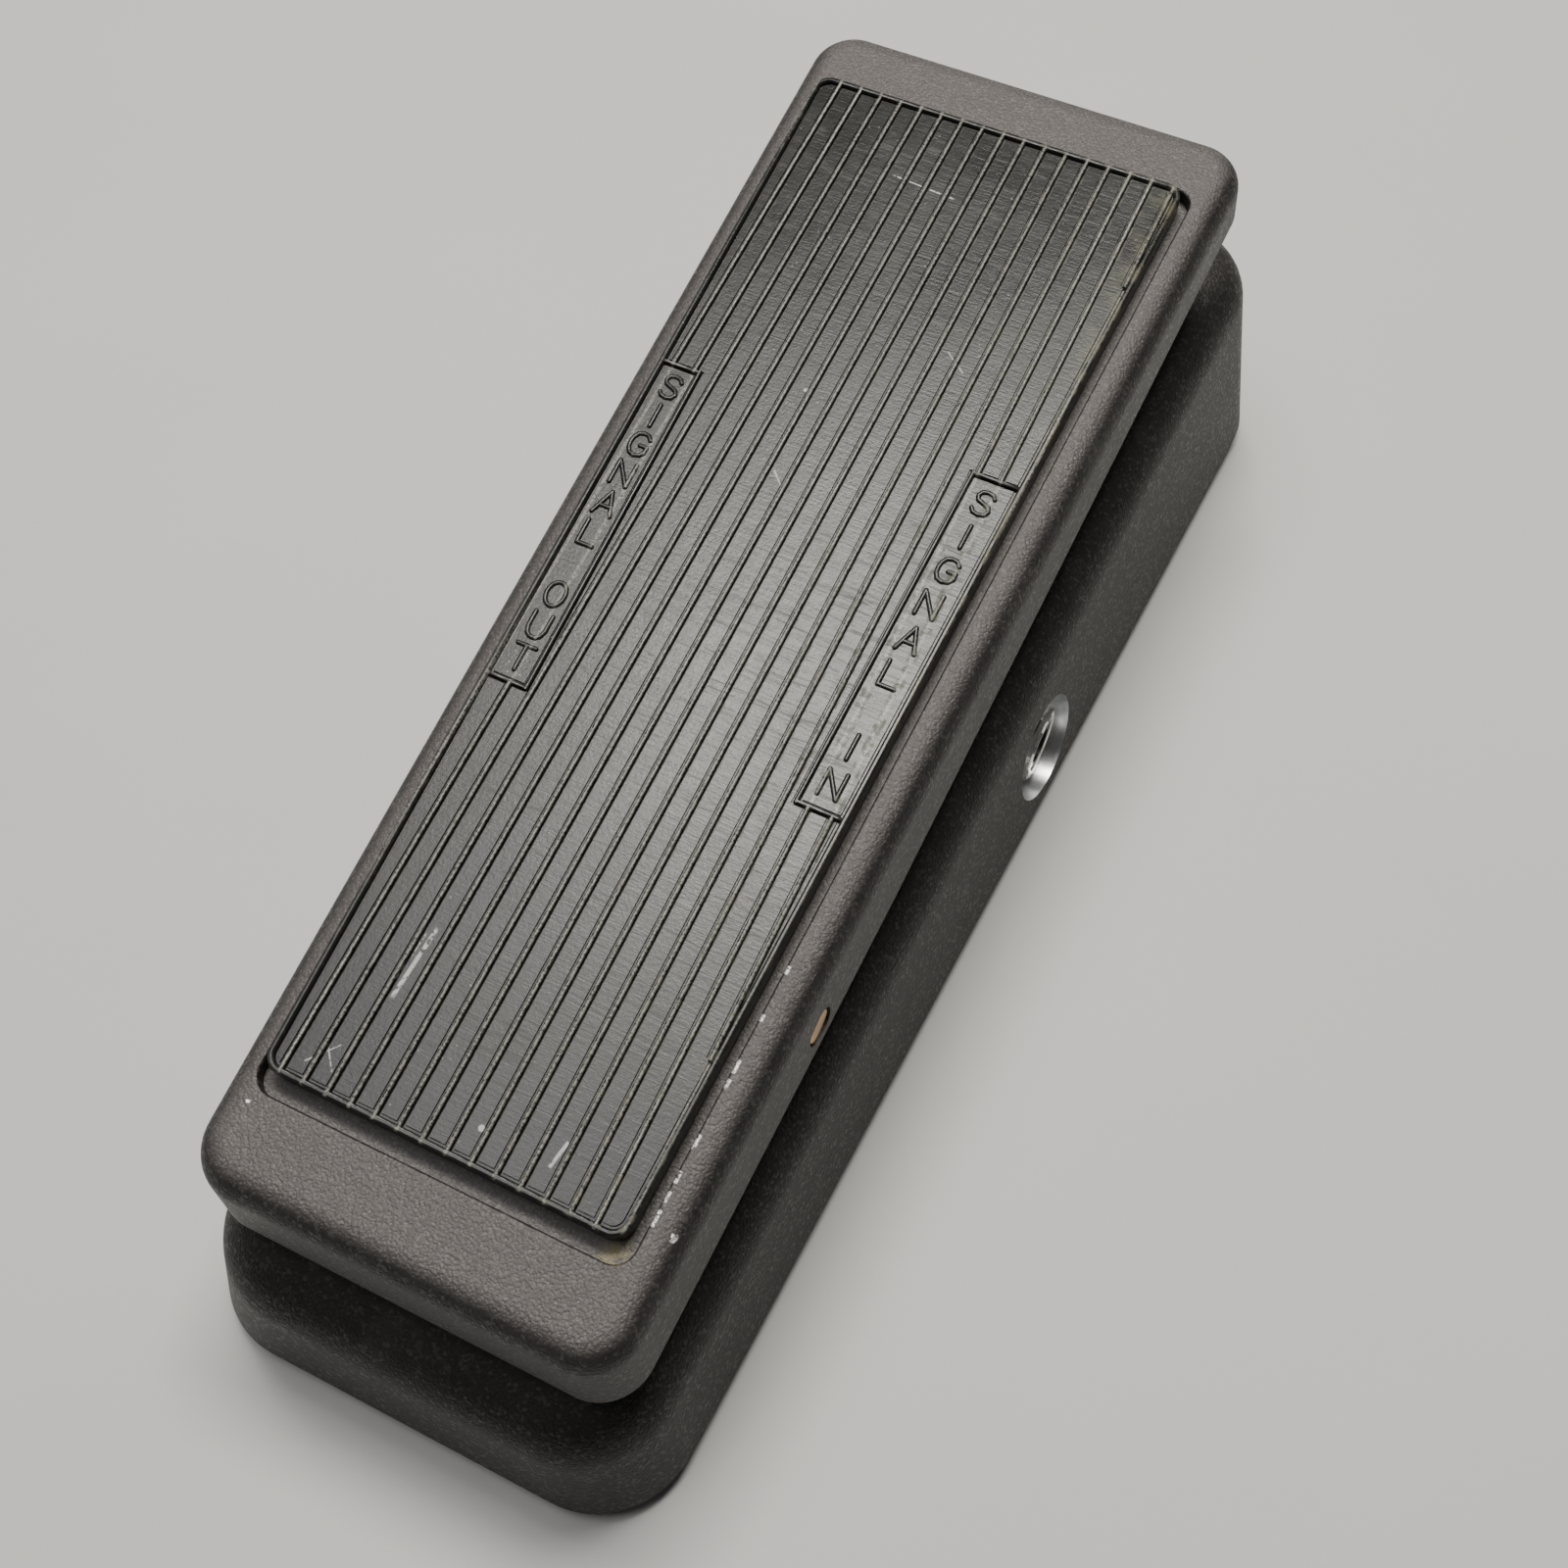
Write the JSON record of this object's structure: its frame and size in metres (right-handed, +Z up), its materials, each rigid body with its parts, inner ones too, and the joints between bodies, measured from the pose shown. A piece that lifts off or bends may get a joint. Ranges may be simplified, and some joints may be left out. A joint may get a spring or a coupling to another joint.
{
  "type": "volume pedal",
  "caption": "Rocker foot pedal for an instrument: a ribbed treadle pivots on a wedge-shaped cast base and turns a potentiometer through a rack and pinion.",
  "frame": {"origin": "on the surface the feet stand on, midway along and across the base", "axes": "+Z up, +Y towards the toe end, +X towards the input jack side"},
  "size_m": [0.1018, 0.255, 0.0764],
  "materials": {
    "base_housing": "black hammered powder coat, fine grain",
    "treadle": "black hammered powder coat, fine grain",
    "tread_pad": "worn semi-gloss ribbed rubber",
    "bottom_plate": "black painted sheet",
    "rubber_foot_heel_left": "matte black rubber",
    "rubber_foot_heel_right": "matte black rubber",
    "rubber_foot_toe_left": "matte black rubber",
    "rubber_foot_toe_right": "matte black rubber",
    "heel_bumper_left": "matte black rubber",
    "heel_bumper_right": "matte black rubber",
    "toe_bumper_left": "matte black rubber",
    "toe_bumper_right": "matte black rubber",
    "foot_screw_heel_left": "zinc-plated steel",
    "foot_screw_heel_right": "zinc-plated steel",
    "foot_screw_toe_left": "zinc-plated steel",
    "foot_screw_toe_right": "zinc-plated steel",
    "bracket_screw_heel": "zinc-plated steel",
    "bracket_screw_toe": "zinc-plated steel",
    "rack_bracket_screw_left": "zinc-plated steel",
    "rack_bracket_screw_right": "zinc-plated steel",
    "tension_screw": "zinc-plated steel",
    "rack_pin": "zinc-plated steel",
    "rack_pin_clip": "zinc-plated steel",
    "input_jack": "black moulding",
    "output_jack": "black moulding",
    "input_jack_washer": "nickel plate",
    "input_jack_nut": "nickel plate",
    "output_jack_washer": "nickel plate",
    "output_jack_nut": "nickel plate",
    "pot_washer": "nickel plate",
    "pot_nut": "nickel plate",
    "pot_bracket": "plated sheet steel",
    "rack_bracket": "plated sheet steel",
    "tension_clamp": "plated sheet steel",
    "potentiometer": "plated can",
    "pot_shaft": "turned",
    "rack_guide": "natural nylon",
    "pivot_bush_left": "natural nylon",
    "pivot_bush_right": "natural nylon",
    "gear_rack": "natural nylon",
    "pinion_gear": "natural nylon",
    "pivot_pin": "plain brass, tarnished",
    "input_wire": "red insulation",
    "output_wire": "white insulation",
    "pot_ground_wire": "black insulation",
    "ground_link_wire": "black insulation"
  },
  "bodies": {
    "base": {"base_housing": "base_housing", "bottom_plate": "bottom_plate", "rubber_foot_heel_left": "rubber_foot_heel_left", "rubber_foot_heel_right": "rubber_foot_heel_right", "rubber_foot_toe_left": "rubber_foot_toe_left", "rubber_foot_toe_right": "rubber_foot_toe_right", "heel_bumper_left": "heel_bumper_left", "heel_bumper_right": "heel_bumper_right", "toe_bumper_left": "toe_bumper_left", "toe_bumper_right": "toe_bumper_right", "foot_screw_heel_left": "foot_screw_heel_left", "foot_screw_heel_right": "foot_screw_heel_right", "foot_screw_toe_left": "foot_screw_toe_left", "foot_screw_toe_right": "foot_screw_toe_right", "bracket_screw_heel": "bracket_screw_heel", "bracket_screw_toe": "bracket_screw_toe", "tension_screw": "tension_screw", "input_jack": "input_jack", "output_jack": "output_jack", "input_jack_washer": "input_jack_washer", "input_jack_nut": "input_jack_nut", "output_jack_washer": "output_jack_washer", "output_jack_nut": "output_jack_nut", "pot_washer": "pot_washer", "pot_nut": "pot_nut", "pot_bracket": "pot_bracket", "tension_clamp": "tension_clamp", "potentiometer": "potentiometer", "rack_guide": "rack_guide", "pivot_bush_left": "pivot_bush_left", "pivot_bush_right": "pivot_bush_right", "input_wire": "input_wire", "output_wire": "output_wire", "pot_ground_wire": "pot_ground_wire", "ground_link_wire": "ground_link_wire"},
    "treadle": {"treadle": "treadle", "tread_pad": "tread_pad", "pivot_pin": "pivot_pin", "rack_bracket": "rack_bracket", "rack_bracket_screw_left": "rack_bracket_screw_left", "rack_bracket_screw_right": "rack_bracket_screw_right", "rack_pin": "rack_pin", "rack_pin_clip": "rack_pin_clip"},
    "rack": {"gear_rack": "gear_rack"},
    "pinion": {"pinion_gear": "pinion_gear", "pot_shaft": "pot_shaft"}
  },
  "joints": [
    {"name": "treadle_rock", "type": "hinge", "parent": "base", "child": "treadle", "pos_m": [0, -0.0562, 0.047], "axis": [1, 0, 0], "range_deg": [-6, 5.5]},
    {"name": "rack_slide", "type": "slide", "parent": "base", "child": "rack", "axis": [0, 0, 1], "range_m": [-0.0105, 0.0096]},
    {"name": "pinion_spin", "type": "hinge", "parent": "base", "child": "pinion", "pos_m": [0, 0.0501, 0.0271], "axis": [1, 0, 0], "range_deg": [-98, 107]}
  ],
  "couplings": [
    {"joint": "rack_slide", "follows": "treadle_rock", "m_per_rad": 0.0992},
    {"joint": "pinion_spin", "follows": "treadle_rock", "ratio": -17.714}
  ]
}
